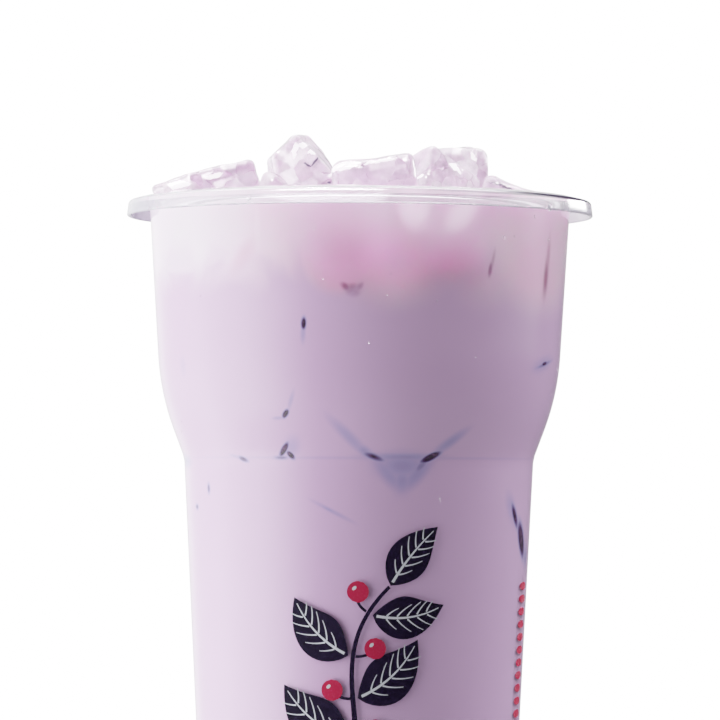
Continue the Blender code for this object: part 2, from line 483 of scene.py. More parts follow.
def wall_radius(z):
    """Radius of the cup's outer wall at a height, between the foot and the rim."""
    end_r, end_z = bend_end()
    if z <= CREASE_HEIGHT:
        return CREASE_RADIUS + (z - CREASE_HEIGHT) * math.tan(LOWER_TAPER)
    if z <= CREASE_HEIGHT + SHOULDER_STRAIGHT:
        return CREASE_RADIUS + (z - CREASE_HEIGHT) * math.tan(SHOULDER_SLOPE)
    if z <= end_z:
        centre_r, centre_z = shoulder_bend()
        return centre_r + math.sqrt(SHOULDER_BEND ** 2 - (centre_z - z) ** 2)
    return end_r + (z - end_z) * math.tan(UPPER_TAPER)


def on_wall(turn, z, inset=0.0):
    """The point on the wall that is turn radians to the right of the front and z up."""
    radius = wall_radius(z) - inset
    return Vector((radius * math.sin(turn), -radius * math.cos(turn), z))


print("wall radius in mm at the foot, the crease and the rim:",
      [round(wall_radius(z) / MM, 1) for z in (0, CREASE_HEIGHT, CUP_HEIGHT)])

# %% Spinning an outline
WALL_STEP = 1.5 * MM
WELD = 0.004 * MM
TURN_STEPS = 224


def arc(centre, radius, start, end, steps):
    """Points of an arc in the (radius, height) plane, its angles in degrees from the outward direction."""
    turns = [math.radians(start + (end - start) * i / steps) for i in range(steps + 1)]
    return [(centre[0] + radius * math.cos(a), centre[1] + radius * math.sin(a)) for a in turns]


def even(start, end, step):
    """Values from start to end, both included, about a step apart."""
    count = max(1, round(abs(end - start) / step))
    return [start + (end - start) * i / count for i in range(count + 1)]


def wall_line(bottom, top, inset):
    """Points of a wall set in from the cup's outer wall, bottom to top, closer together at the crease."""
    below, above = CREASE_HEIGHT - CREASE_BLEND, CREASE_HEIGHT + CREASE_BLEND
    heights = even(bottom, below, WALL_STEP) + even(above, top, WALL_STEP)
    return [(wall_radius(z) - inset, z) for z in heights]


def spun(outline):
    """Spins an outline that starts and ends on the axis into a closed shape."""
    shape = bmesh.new()
    points = [shape.verts.new((r, 0, z)) for r, z in outline]
    line = [shape.edges.new(pair) for pair in zip(points, points[1:])]
    bmesh.ops.spin(shape, geom=points + line, axis=(0, 0, 1), cent=(0, 0, 0),
                   steps=TURN_STEPS, angle=2 * math.pi, use_merge=True)
    bmesh.ops.remove_doubles(shape, verts=shape.verts, dist=WELD)
    bmesh.ops.recalc_face_normals(shape, faces=shape.faces)
    return shape


print("heights along the wall:", len(wall_line(0, CUP_HEIGHT, 0)))

# %% Outlines of the foot and the rim
FOOT_ROUNDING = 2.4 * MM
FOOT_STEPS = 10
FOOT_RING_WIDTH = 1.6 * MM
BASE_RECESS = 1.4 * MM
BASE_PLATE = 1.2 * MM
FLOOR_ROUNDING = 3.0 * MM
ARC_STEPS = 8
CROWN_WIDTH = 0.8 * MM
LIP_ROUNDING = 0.9 * MM
FLANGE_DROP = 0.6 * MM
FLANGE_THICKNESS = 1.2 * MM
SKIRT_HEIGHT = 3.2 * MM
SKIRT_THICKNESS = 0.8 * MM
SKIRT_FLARE = 0.25 * MM
SKIRT_ROUNDING = 0.9 * MM


def foot_line():
    """Underside and foot: from the axis across the recessed base and round the ring foot."""
    stands_out = wall_radius(FOOT_ROUNDING) - FOOT_ROUNDING
    stands_in = stands_out - FOOT_RING_WIDTH
    rounded = arc((stands_out, FOOT_ROUNDING), FOOT_ROUNDING, -90, 0, FOOT_STEPS)
    return [(0, BASE_RECESS), (stands_in - BASE_RECESS, BASE_RECESS), (stands_in, 0), *rounded[:-1]]


def rim_line():
    """Rim: under the flange, round the skirt, up over its corner, across the crown and into the mouth."""
    flange_top = CUP_HEIGHT - FLANGE_DROP
    under = flange_top - FLANGE_THICKNESS
    skirt_bottom = flange_top - SKIRT_HEIGHT
    mouth = wall_radius(CUP_HEIGHT) - WALL
    skirt_inner = RIM_RADIUS - SKIRT_THICKNESS
    half_skirt = SKIRT_THICKNESS / 2
    corner = (RIM_RADIUS - SKIRT_FLARE - SKIRT_ROUNDING, flange_top - SKIRT_ROUNDING)
    lip = (mouth + LIP_ROUNDING, CUP_HEIGHT - LIP_ROUNDING)
    return [
        (wall_radius(under) + half_skirt, under),
        (skirt_inner - half_skirt, under),
        (skirt_inner, skirt_bottom + half_skirt),
        *arc((RIM_RADIUS - half_skirt, skirt_bottom + half_skirt), half_skirt, -135, 0, ARC_STEPS),
        *arc(corner, SKIRT_ROUNDING, 0, 80, ARC_STEPS),
        (lip[0] + CROWN_WIDTH, CUP_HEIGHT),
        *arc(lip, LIP_ROUNDING, 90, 180, ARC_STEPS),
    ]


def floor_line(level, radius):
    """Inner floor from the wall to the axis, with a rounded corner of its own."""
    corner = (radius - FLOOR_ROUNDING, level + FLOOR_ROUNDING)
    return [*arc(corner, FLOOR_ROUNDING, 0, -90, ARC_STEPS), (0, level)]


def cup_outline():
    """Closed outline of the cup's section, starting and ending on the axis."""
    flange_under = CUP_HEIGHT - FLANGE_DROP - FLANGE_THICKNESS
    outer = wall_line(FOOT_ROUNDING, flange_under - SKIRT_THICKNESS, 0)
    corner_height = BASE_RECESS + BASE_PLATE + FLOOR_ROUNDING
    inner = wall_line(corner_height, CUP_HEIGHT - 2 * LIP_ROUNDING, WALL)[::-1]
    floor = floor_line(BASE_RECESS + BASE_PLATE, inner[-1][0])
    return [*foot_line(), *outer, *rim_line(), *inner[:-1], *floor]


print("points in the cup's outline:", len(cup_outline()))

# %% [markdown]
# ## Clear plastic
#
# Injection moulded polypropylene or PET is clear and shiny, with a faint unevenness that makes its
# reflections swim and fine rub marks from the stack it came in. One Principled shader with transmission
# does this; noise drives its roughness and a very low bump. The flange is thicker, cooled more slowly and
# so is a little cloudy, most of all where one looks along it, at its two ends, and at its upper edge. A
# matt shader mixed in by place gives it that bluish grey. Its colour also holds painted shade: the left end
# is painted a darker grey than the right, and the upper edge is painted nearly black on the side away
# from the softbox.

# %% Cup
CLEAR = (0.95, 0.935, 0.96, 1)
PLASTIC_IOR = 1.49
RUBBED = (0.02, 0.07)  # roughness where the plastic is new and where it is rubbed
SWIM = 0.06 * MM
FLANGE_FROM = (44.8 * MM, 45.6 * MM)  # radii between which the cloudy flange begins
EDGE_FROM = (46.0 * MM, 46.4 * MM)  # radii and heights between which its upper edge begins
EDGE_ABOVE = (135.3 * MM, 135.9 * MM)
END_FRONT, END_BACK = (52, 76), (150, 110)  # degrees round between which the flange's ends begin
SHADE_FROM = (10, 50)  # degrees round between which the side away from the softbox begins
CLOUDY = 0.25  # how much of the flange's look is cloudy in front
CLOUDY_ENDS = 0.78
CLOUDY_EDGE = 0.3
EDGE_IN_SHADE = 0.7  # what the upper edge has more on the side away from the softbox
# The flange's cloudy tones: the left end's is a painted shade, darker than the right end's.
CLOUD_FRONT, CLOUD_LEFT_PAINTED_SHADE, CLOUD_RIGHT = (0.60, 0.56, 0.69), (0.35, 0.345, 0.42), (0.60, 0.56, 0.68)
# Painted shade: the nearly black colour of the flange's upper edge on the side away from the softbox.
PAINTED_SHADE_EDGE = (0.03, 0.02, 0.05)


def clear_plastic(start):
    """Clear plastic, cloudy along the flange, with painted shade at its left end and along its upper edge.
    """
    place = object_place(start)
    rubbed = place.noise(9 * MM, detail=4).step(0.45, 0.75, *RUBBED)
    swim = place.noise(16 * MM, detail=1) * SWIM
    plastic = principled(start, Base_Color=CLEAR, Roughness=rubbed, IOR=PLASTIC_IOR,
                         Transmission_Weight=1.0, Normal=swim.bump())
    right, back = place.axis("X"), place.axis("Y")
    out = start.math("SQRT", right * right + back * back)
    turn = place.turn() * math.degrees(1)
    edge = out.step(*EDGE_FROM) * place.axis("Z").step(*EDGE_ABOVE)
    round_by = start.math("ABSOLUTE", turn)
    ends = round_by.step(*END_FRONT) * round_by.step(*END_BACK)
    shade = turn.step(*SHADE_FROM)
    colour = blended(ends * turn.step(20, -20), CLOUD_FRONT, CLOUD_LEFT_PAINTED_SHADE)
    colour = blended(ends * turn.step(-20, 20), colour, CLOUD_RIGHT)
    colour = blended(edge * shade, colour, PAINTED_SHADE_EDGE)
    cloudy = principled(start, Base_Color=colour, Roughness=0.15, IOR=PLASTIC_IOR)
    share = most(out.step(*FLANGE_FROM) * ends.step(0, 1, CLOUDY, CLOUDY_ENDS),
                 edge * (shade * EDGE_IN_SHADE + CLOUDY_EDGE))
    return lit_through(start, start.node("MixShader", None, {0: share, 1: plastic, 2: cloudy}))


piece("clear_cup", spun(cup_outline()), "clear_plastic", material("clear plastic", clear_plastic),
      stands_for=["cup"])

# %% [markdown]
# ## Places on the wall
#
# Everything that shows through the wall is easiest to place as one would with a tape measure: so many
# degrees round from the front and so many millimetres up. The shader finds the same two numbers for the
# spot that it paints, and lays soft ovals there. An oval needs three nodes: a Mapping node that brings
# its own centre, lean and size to a unit circle, a length, and a smooth step at the edge.

# %% Soft spots on the wall
WRAP = 40.0  # mm along the wall for each radian round the axis, near enough at every height


class Spot(NamedTuple):
    """A soft oval on the wall."""

    turn: float  # degrees round from the front, to the right
    height: float  # mm above the foot
    wide: float  # half its width, mm
    tall: float  # half its height, mm
    lean: float = 0  # degrees that its upper end leans to the right
    strength: float = 1.0
    soft: float = 0.3  # how much of its half size the edge takes up, inwards and outwards


def wall_place(start):
    """Where the surface is on the wall: a vector of mm to the right of the front, mm up and 0."""
    place = object_place(start)
    return start.node("CombineXYZ", None, {0: place.turn() * WRAP, 1: place.axis("Z") / MM})


def oval_on(place, centre, halves, lean, soft):
    """1 inside an oval on a flat place in mm and 0 outside it."""
    inputs = {"Vector": place, "Location": (*centre, 0), "Rotation": (0, 0, -math.radians(lean)),
              "Scale": (*halves, 1)}
    local = place.node("Mapping", {"vector_type": "TEXTURE"}, inputs)
    reach = local.node("VectorMath", {"operation": "LENGTH"}, {0: local}, "Value")
    return reach.step(1 + soft, 1 - soft)


def spot_on(place, spot):
    """How much of a spot covers the surface at a wall place."""
    centre = (math.radians(spot.turn) * WRAP, spot.height)
    return oval_on(place, centre, (spot.wide, spot.tall), spot.lean, spot.soft) * spot.strength


def spots_on(place, spots):
    """The strongest of several spots."""
    return most(*[spot_on(place, spot) for spot in spots])


print("a spot 90 degrees round is", round(math.radians(90) * WRAP, 1), "mm along the wall")

# %% [markdown]
# ## Where ice touches the wall
#
# Blocks of ice drift in the tea. Where a clear edge or corner presses against the wall there is no milk
# to scatter light, so it shows as a small, nearly black plum mark, and where a thin film of tea is left
# between ice and wall there is a bluish shadow. A shadow is measured like a scratch, from one end to the
# other. The middle of some is left to real blocks of ice, made further on, whose faces touch the wall.


# %% Shadows of the sunk ice
class Shadow(NamedTuple):
    """A shadow on the tea from one place on the wall to another, each degrees round and mm up."""

    start: tuple
    end: tuple
    wide: float  # half its width, mm
    strength: float
    soft: float = 0.85
    touch: float = 0.0  # how much of its length and width is ice that touches the wall

    def spot(self):
        """The soft oval between the two places."""
        right = math.radians(self.end[0] - self.start[0]) * WRAP
        up = self.end[1] - self.start[1]
        turn = (self.start[0] + self.end[0]) / 2
        height = (self.start[1] + self.end[1]) / 2
        lean = math.degrees(math.atan2(right, up))
        return Spot(turn, height, self.wide, math.hypot(right, up) / 2, lean, self.strength, self.soft)


HIGH_LEFT = (
    Shadow((-15.5, 109.0), (-15.3, 111.5), 0.5, 1.0, 0.7, touch=0.55),
    Shadow((-15.7, 106.7), (-15.5, 110.0), 0.45, 0.35),
    Shadow((-23.0, 92.0), (-21.0, 93.6), 0.55, 1.0, 0.6, touch=0.6),
    Shadow((-26.3, 91.9), (-23.0, 92.0), 0.3, 0.35),
    Shadow((-20.8, 93.8), (-19.0, 97.0), 0.4, 0.3),
    Shadow((-60.0, 100.8), (-60.0, 104.0), 1.0, 0.14),
)
CREASE_LEFT = (
    Shadow((-26.0, 84.4), (-22.4, 87.2), 0.6, 1.0, 0.6, touch=0.65),
    Shadow((-20.9, 84.0), (-23.3, 85.4), 0.6, 1.0, 0.6, touch=0.6),
    Shadow((-28.0, 84.2), (-23.0, 84.2), 0.4, 0.65),
    Shadow((-23.0, 84.6), (-19.7, 88.0), 1.5, 0.28),
    Shadow((-38.3, 83.5), (-42.2, 84.3), 0.5, 0.8, 0.7),
    Shadow((-40.8, 84.0), (-46.0, 84.8), 0.35, 0.3),
    Shadow((-79.4, 82.2), (-79.4, 84.7), 4.0, 0.45),
)
CREASE_MIDDLE = (
    Shadow((20.0, 83.4), (26.8, 85.4), 0.75, 1.0, 0.55, touch=0.6),
    Shadow((24.5, 85.2), (34.0, 89.5), 0.9, 0.42),
    Shadow((18.0, 81.2), (22.7, 84.1), 0.9, 0.55),
    Shadow((8.0, 83.7), (1.4, 85.2), 0.65, 0.85, touch=0.3),
    Shadow((2.3, 84.9), (-8.0, 91.5), 0.95, 0.36),
    Shadow((4.2, 84.6), (-0.6, 86.5), 0.85, 0.45),
    Shadow((2.6, 84.4), (25.0, 84.4), 0.8, 0.45),
    Shadow((14.0, 78.0), (4.8, 84.1), 1.5, 0.4),
    Shadow((14.0, 78.0), (23.9, 84.1), 1.5, 0.42),
    Shadow((6.6, 82.6), (21.2, 82.6), 2.4, 0.44),
    Shadow((14.0, 77.5), (14.0, 82.0), 2.0, 0.42),
)
CREASE_LINE = (Shadow((-60.0, 84.2), (70.0, 84.2), 0.3, 0.16),)
LOW_MIDDLE = (
    Shadow((-2.7, 71.9), (-14.4, 75.5), 0.4, 0.3),
    Shadow((-7.2, 73.3), (-12.5, 74.9), 0.25, 0.42),
)
RIGHT = (
    Shadow((63.8, 102.9), (67.6, 103.4), 0.4, 1.0, touch=0.5),
    Shadow((60.4, 102.2), (70.7, 103.8), 0.5, 0.6),
    Shadow((59.5, 102.2), (70.0, 103.9), 1.2, 0.3),
    Shadow((66.6, 70.2), (61.2, 75.2), 1.0, 0.9, 0.7, touch=0.4),
    Shadow((74.1, 64.3), (67.7, 71.4), 1.8, 1.0, 0.55, touch=0.6),
    Shadow((64.0, 71.6), (58.5, 76.6), 1.6, 0.32),
    Shadow((79.0, 62.7), (75.3, 66.3), 1.9, 0.42),
)
LOW_LEFT = (
    Shadow((-58.7, 77.0), (-58.7, 79.0), 0.6, 0.75),
    Shadow((-68.3, 73.7), (-68.3, 74.8), 0.9, 0.75),
)
SHADOWS = (*HIGH_LEFT, *CREASE_LEFT, *CREASE_MIDDLE, *CREASE_LINE, *LOW_MIDDLE, *RIGHT, *LOW_LEFT)
print("shadows on the tea:", len(SHADOWS))
print("shadows in which ice touches the wall:", sum(shadow.touch > 0 for shadow in SHADOWS))

# %% [markdown]
# ## The tea
#
# Taro milk tea is opaque: what one sees is its outermost millimetre. It is a pale lilac that scatters
# light evenly, with no gloss where it lies against the plastic, because nothing separates the two. Near
# the top, melting ice and the milk's cream tint it pink down to a scalloped edge, and light gets further
# into it, so the pink part is a shader of its own. The lilac has slow clouds and the shadows of the ice.
# The pink has frosty spots and streaks, painted light in paler creamy and rosy spots, in a paler top and
# in a painted glow of its own, and painted shade in deeper spots. The scalloped edge mixes the two.

# %% Colours of the tea
TEA = (0.585, 0.372, 0.625)
TEA_CLOUD = (0.57, 0.36, 0.615)
TEA_PINK = (0.80, 0.57, 0.745)
# Painted light: a paler, creamy pink that brightens spots near the top and the top itself.
TEA_CREAM_PAINTED_LIGHT = (0.94, 0.77, 0.90)
TEA_FROST = (0.80, 0.72, 0.86)
# Painted shade: a deeper pink laid on spots of the pink zone to darken them.
PAINTED_SHADE_PINK = (0.63, 0.35, 0.515)
# Painted light: a bright rosy pink laid on spots to lighten them.
PAINTED_LIGHT_ROSE = (0.98, 0.57, 0.84)
# Painted glow: a colour that the tea gives off as light of its own in a few spots near the top.
PAINTED_GLOW = (1.0, 0.76, 0.95)
STREAK = (0.20, 0.03, 0.10)
SHADOW_STOPS = ((0.0, (1, 1, 1)), (0.4, (0.61, 0.76, 0.89)), (0.65, (0.28, 0.33, 0.46)),
                (0.85, (0.10, 0.05, 0.14)), (1.0, (0.035, 0.01, 0.045)))
PINK_LOBES = (
    Spot(-58, 130, 20, 9.6, 0, 0.7, 0.12),
    Spot(-4.6, 127, 8.6, 11.0, 12, 0.9, 0.14),
    Spot(24, 129, 13, 10.0, 0, 1.0, 0.4),
    Spot(9, 123, 10, 8.0, 0, 1.0, 0.5),
    Spot(38, 122, 8, 7.0, 0, 0.6, 0.6),
    Spot(61, 128, 19, 13.5, 0, 1.0, 0.35),
    Spot(118, 131, 34, 12.0, 0, 1.0, 0.3),
    Spot(-130, 131, 36, 13.0, 0, 1.0, 0.3),
    Spot(180, 131, 30, 11.0, 0, 1.0, 0.3),
)
# Spots of painted shade in the pink zone.
PAINTED_SHADE_PINK_SPOTS = (
    Spot(23, 120.6, 9.0, 5.0, 2, 0.75, 0.8),
    Spot(-4.0, 120.5, 7.5, 8.5, 12, 0.85, 0.8),
    Spot(-5.0, 127.0, 6.0, 5.0, 0, 0.35, 0.9),
    Spot(-33.4, 123.4, 1.4, 3.6, 38, 0.45, 0.8),
    Spot(58, 120.0, 12.0, 9.0, 0, 0.35, 0.9),
)
# Spots of painted light in the pink zone.
PAINTED_LIGHT_ROSE_SPOTS = (
    Spot(10.5, 122.0, 5.0, 5.5, 0, 0.9, 0.9),
    Spot(14.0, 118.6, 4.0, 2.4, 0, 0.15, 0.9),
)
# Spots of painted light in a creamy pink near the top.
CREAMY_PAINTED_LIGHT = (
    Spot(13, 131.8, 2.4, 3.6, -20, 1.0, 0.7),
    Spot(17, 132.4, 1.6, 3.6, 32, 1.0, 0.7),
    Spot(28, 132.0, 2.4, 4.6, 45, 0.95, 0.8),
    Spot(14, 132.5, 14.0, 4.6, 0, 0.55, 0.9),
    Spot(-28.4, 130.0, 0.7, 5.0, 0, 0.4, 0.7),
    Spot(48, 129.0, 5.0, 4.0, 0, 0.3, 0.9),
    Spot(37, 118.4, 1.6, 1.4, 0, 0.4, 0.8),
    Spot(42, 126.0, 4.5, 7.0, 0, 0.6, 0.9),
)
# Spots of painted glow, where the tea gives off light though no lamp is there.
PAINTED_GLOW_SPOTS = (
    Spot(14.5, 132.4, 3.0, 4.0, -14, 1.0, 0.8),
    Spot(28, 132.2, 3.0, 4.6, 45, 0.8, 0.8),
    Spot(16, 131.5, 14.0, 5.5, 0, 0.35, 0.9),
)
FROSTY = (Spot(-66, 127.0, 24.0, 13.0, 0, 0.8, 0.6),)
STREAKS = (
    Spot(-3.6, 117.2, 0.6, 1.1, -42, 0.8, 0.7),
    Spot(-1.8, 116.2, 1.2, 0.85, 0, 1.0, 0.6),
    Spot(-1.8, 116.9, 1.3, 0.9, 0, 0.75, 0.8),
    Spot(-0.2, 117.2, 0.5, 1.0, 40, 0.75, 0.7),
    Spot(38.0, 121.2, 0.42, 1.3, 8, 0.9, 0.7),
    Spot(38.8, 123.0, 0.36, 2.0, 10, 0.4, 0.8),
    Spot(63.0, 120.2, 0.9, 3.6, 3, 0.7, 0.8),
    Spot(63.8, 124.6, 0.7, 3.6, 3, 0.4, 0.8),
)
print("pink lobes:", len(PINK_LOBES), "and streaks:", len(STREAKS))

# %% Tea behind the wall
TEA_ROUGHNESS = 0.8
PINK_DEPTH = (6.5, 5.0, 5.8)  # mm that red, green and blue light travels in the icy tea near the top
# How strongly the painted glow shines.
PAINTED_GLOW_STRENGTH = 0.13
PINK_RISE = (116, 127)  # the heights in mm over which the tea turns pink, where no lobe shows
# Painted light: the tea is painted paler and creamier towards its top.
CREAM_PAINTED_LIGHT_RISE = (124, 136)  # and over which it turns a little creamy
CREAM_PAINTED_LIGHT_AT_TOP = 0.3
LEVEL_STRAYS = 2.0  # mm that the clouds move these heights up and down


def ramp(value, stops):
    """A colour ramp over a value, its stops each a position and a colour."""
    made = value.node("ValToRGB", None, {0: value}, "Color")
    elements = made.socket.node.color_ramp.elements
    while len(elements) < len(stops):
        elements.new(1.0)
    for element, (position, colour) in zip(elements, stops):
        element.position = position
        element.color = (*colour, 1.0)
    return made


def tea_behind_wall(start):
    """Tea as it shows through the wall: lilac below and icy pink at the top."""
    place = wall_place(start)
    clouds = object_place(start).noise(14 * MM, detail=3, warp=0.6)
    shadow = ramp(spots_on(place, [shadow.spot() for shadow in SHADOWS]), SHADOW_STOPS)
    colour = blended(1.0, blended(clouds, TEA, TEA_CLOUD), shadow, "MULTIPLY")
    tea = principled(start, Base_Color=colour, Roughness=TEA_ROUGHNESS, Specular_IOR_Level=0.0)
    level = place.axis("Y") + clouds.step(0.35, 0.65, -LEVEL_STRAYS, LEVEL_STRAYS)
    # Painted light: creamy spots and a paler top.
    painted_light_cream = most(spots_on(place, CREAMY_PAINTED_LIGHT), level.step(*CREAM_PAINTED_LIGHT_RISE, 0, CREAM_PAINTED_LIGHT_AT_TOP))
    pinkish = most(spots_on(place, PINK_LOBES), level.step(*PINK_RISE))
    pink = blended(painted_light_cream, TEA_PINK, TEA_CREAM_PAINTED_LIGHT)
    pink = blended(spots_on(place, FROSTY), pink, TEA_FROST)
    # Painted shade: the deeper pink spots.
    pink = blended(spots_on(place, PAINTED_SHADE_PINK_SPOTS), pink, PAINTED_SHADE_PINK)
    # Painted light: the rosy spots.
    pink = blended(spots_on(place, PAINTED_LIGHT_ROSE_SPOTS), pink, PAINTED_LIGHT_ROSE)
    pink = blended(spots_on(place, STREAKS), pink, STREAK)
    # Painted glow: emission in a few spots, though no lamp is there.
    painted_glow = blended(spots_on(place, PAINTED_GLOW_SPOTS), (0, 0, 0), PAINTED_GLOW)
    icy = principled(start, Base_Color=pink, Roughness=TEA_ROUGHNESS, Specular_IOR_Level=0.0,
                     Subsurface_Weight=1.0, Subsurface_Radius=[d * MM for d in PINK_DEPTH],
                     Subsurface_Scale=1.0, Emission_Color=painted_glow, Emission_Strength=PAINTED_GLOW_STRENGTH)
    return start.node("MixShader", None, {0: pinkish, 1: tea, 2: icy})


TEA_FINISH = material("tea behind the wall", tea_behind_wall)
print("nodes in the tea's material:", len(TEA_FINISH.node_tree.nodes))

# %% Open tea
OPEN_TEA, OPEN_TEA_CLOUD = (0.64, 0.42, 0.62), (0.70, 0.50, 0.70)
FILM_OF_MILK = (0.78, 0.62, 0.78)
OPEN_TEA_WAVES = 0.15 * MM


def tea_surface(start):
    """The wet open surface of the tea."""
    place = object_place(start)
    clouds = place.noise(9 * MM, detail=4, warp=0.8)
    film_of_milk = place.noise(3 * MM, detail=4).step(0.5, 0.8)
    colour = blended(clouds, OPEN_TEA, OPEN_TEA_CLOUD)
    wavy = place.noise(5 * MM, detail=2) * OPEN_TEA_WAVES
    return principled(start, Base_Color=blended(film_of_milk, colour, FILM_OF_MILK),
                      Roughness=film_of_milk * 0.12 + 0.06, Specular_IOR_Level=0.5, Normal=wavy.bump())


OPEN_FINISH = material("tea surface", tea_surface)
print("nodes in the open tea's material:", len(OPEN_FINISH.node_tree.nodes))

# %% [markdown]
# ## Melting ice
#
# A packed block has flat faces and three-sided roundings. Real ice from a machine melts into soft, wavy
# faces. So each block is copied, rebuilt from small even squares by the Remesh modifier, smoothed, and
# pushed in and out along its normals by noise: a slow wave for the melting and a fine one for the wet
# skin. The tea below is cut with copies of these blocks, so they are made first.

# %% Ice blocks
ICE_NODES = sorted(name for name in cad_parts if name.startswith("ice_"))
ICE_VOXEL = 0.42 * MM
ICE_SMOOTHING = 2
ICE_WAVES = ((6.0 * MM, 0.45 * MM), (2.2 * MM, 0.12 * MM))  # size and height of each


def modified(shape, kind, **settings):
    """The bmesh after a modifier with these settings."""
    holder = new_object("in the works", shape, [])
    modifier = holder.modifiers.new(kind, kind)
    for name, value in settings.items():
        setattr(modifier, name, value)
    made = bmesh.new()
    made.from_object(holder, bpy.context.evaluated_depsgraph_get())
    bpy.data.meshes.remove(holder.data)
    return made


def pushed(shape, amount):
    """Moves each point along its normal by amount(point)."""
    shape.normal_update()
    moves = [(point, point.normal * amount(point.co)) for point in shape.verts]
    for point, move in moves:
        point.co += move
    return shape


def melted(node):
    """A finer copy of a packed block with the waves of melting on it."""
    shape = bmesh.new()
    shape.from_mesh(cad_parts[node].data)
    bmesh.ops.remove_doubles(shape, verts=shape.verts, dist=WELD)
    shape = modified(shape, "REMESH", mode="VOXEL", voxel_size=ICE_VOXEL)
    for _ in range(ICE_SMOOTHING):
        bmesh.ops.smooth_vert(shape, verts=shape.verts, factor=0.5, use_axis_x=True,
                              use_axis_y=True, use_axis_z=True)
    shift = Vector((ICE_NODES.index(node), 0, 0))
    return pushed(shape, lambda at: sum(
        height * noise.noise(at / size + shift) for size, height in ICE_WAVES))


def off_ice(place):
    """How far a place is outside the nearest block of ice; inside one it is negative."""
    nearest = [tree.find_nearest(place) for tree in ICE_TREES]
    return min(math.copysign(distance, (place - at).dot(normal)) for at, normal, _, distance in nearest)


ICE_SHAPES = {node: melted(node) for node in ICE_NODES}
ICE_TREES = [BVHTree.FromBMesh(block) for block in ICE_SHAPES.values()]
print("points on the ice:", sum(len(shape.verts) for shape in ICE_SHAPES.values()))

# %% [markdown]
# ## Wet ice
#
# Ice from a machine is clear at the skin and milky inside, and it cracks into cells in the warm tea. A
# Voronoi texture gives each cell a colour of its own, whose parts say how cloudy the cell is, which tint
# it has and how its faces lie. Clear and milky ice are two shaders, mixed by that cloudiness. The few
# large bright patches are painted highlights, where the milky ice glows white, and the dark lines are
# dark ovals; both are laid on as seen from the front, with edges made ragged by noise.

# %% Cracks and marks in the ice
CRACK_CELL = 4.5 * MM
CRACK_WIDTH = 0.16 * MM
CRACK_SHAKE = 4.0 * MM  # how far the straight borders between cells are moved about
RAGGED = 0.9  # mm that the marks' edges are moved about
MARK_EDGE = 0.12  # how soft a mark's edge is, as a share of its half size
# Painted highlights: ovals where the milky ice glows white.
PAINTED_HIGHLIGHTS = (  # ovals seen from the front, in mm: the centre, half the width and height, and the lean
    ((-36.6, 139.2), (2.5, 0.8), -6), ((-29.6, 141.0), (1.9, 0.55), -16),
    ((-13.2, 146.2), (0.55, 1.7), 8), ((-11.8, 147.2), (1.2, 0.5), -10), ((-9.8, 145.8), (0.8, 0.3), 30),
    ((-3.0, 142.2), (3.4, 0.75), -14), ((4.0, 143.2), (3.2, 0.4), -10), ((19.4, 143.0), (1.7, 0.45), 34),
    ((23.6, 146.8), (0.4, 1.3), -12), ((12.2, 141.0), (0.8, 0.3), -30),
)
DARK_LINES = (
    ((-10.4, 143.6), (0.9, 0.3), 20), ((-9.0, 144.2), (0.2, 0.9), 34), ((-6.3, 139.8), (0.4, 0.3), 0),
    ((29.2, 139.6), (3.4, 0.16), 22), ((1.2, 145.0), (2.2, 0.12), -16),
)


def crack_cells(place):
    """The colour of the cell that a place is in, and how far the place is from the cell's border."""
    swirl = place.noise(5 * MM, detail=4).beside("Color")
    inputs = {0: swirl, 1: (CRACK_SHAKE, CRACK_SHAKE, CRACK_SHAKE), 2: place}
    shaken = place.node("VectorMath", {"operation": "MULTIPLY_ADD"}, inputs)
    inputs = {"Vector": shaken, "Scale": 1 / CRACK_CELL}
    cell = place.node("TexVoronoi", None, inputs, "Color")
    border = place.node("TexVoronoi", {"feature": "DISTANCE_TO_EDGE"}, inputs, "Distance")
    return cell, border * CRACK_CELL


def seen_from_front(place):
    """The place in mm as seen from the front, moved about a little by noise."""
    ragged = place.noise(1.6 * MM, detail=4) * (2 * RAGGED) - RAGGED
    inputs = {0: place.axis("X") / MM + ragged, 1: place.axis("Z") / MM + ragged}
    return place.node("CombineXYZ", None, inputs)


def ovals_on(place, ovals):
    """1 inside any of the crisp ovals and 0 outside all of them."""
    return most(*[oval_on(place, *one, MARK_EDGE) for one in ovals])


print("marks in the ice:", len(PAINTED_HIGHLIGHTS), "bright and", len(DARK_LINES), "dark")

# %% Ice material
ICE_IOR = 1.31
ICE_DEPTH = (2.6, 2.3, 2.5)  # mm that red, green and blue light travels in the frosty ice
CLEAR_ICE = (0.94, 0.86, 0.92, 1)
MILKY_ICE, PINK_ICE = (0.77, 0.68, 0.79), (0.70, 0.58, 0.69)
CRACK_COLOUR = (0.42, 0.28, 0.40)
DARK_COLOUR = (0.15, 0.13, 0.19)
CELL_TILT = 0.5  # how steeply a cell's faces lie, as a rise for each unit of length
ICE_SKIN = 0.04 * MM  # how high the ripples of its wet skin are
CRACK_CLOUDINESS = 0.8
CLOUDINESS = (0.35, 0.7)  # of the clearest and the milkiest cell
PATCHINESS = 0.12  # what small patches take from that or add to it
# How strongly the painted highlights glow.
PAINTED_HIGHLIGHT_STRENGTH = 0.45
ICE_SHADE = (0.9, 0.87, 0.9)  # the tint of the light that the ice lets through to the tea


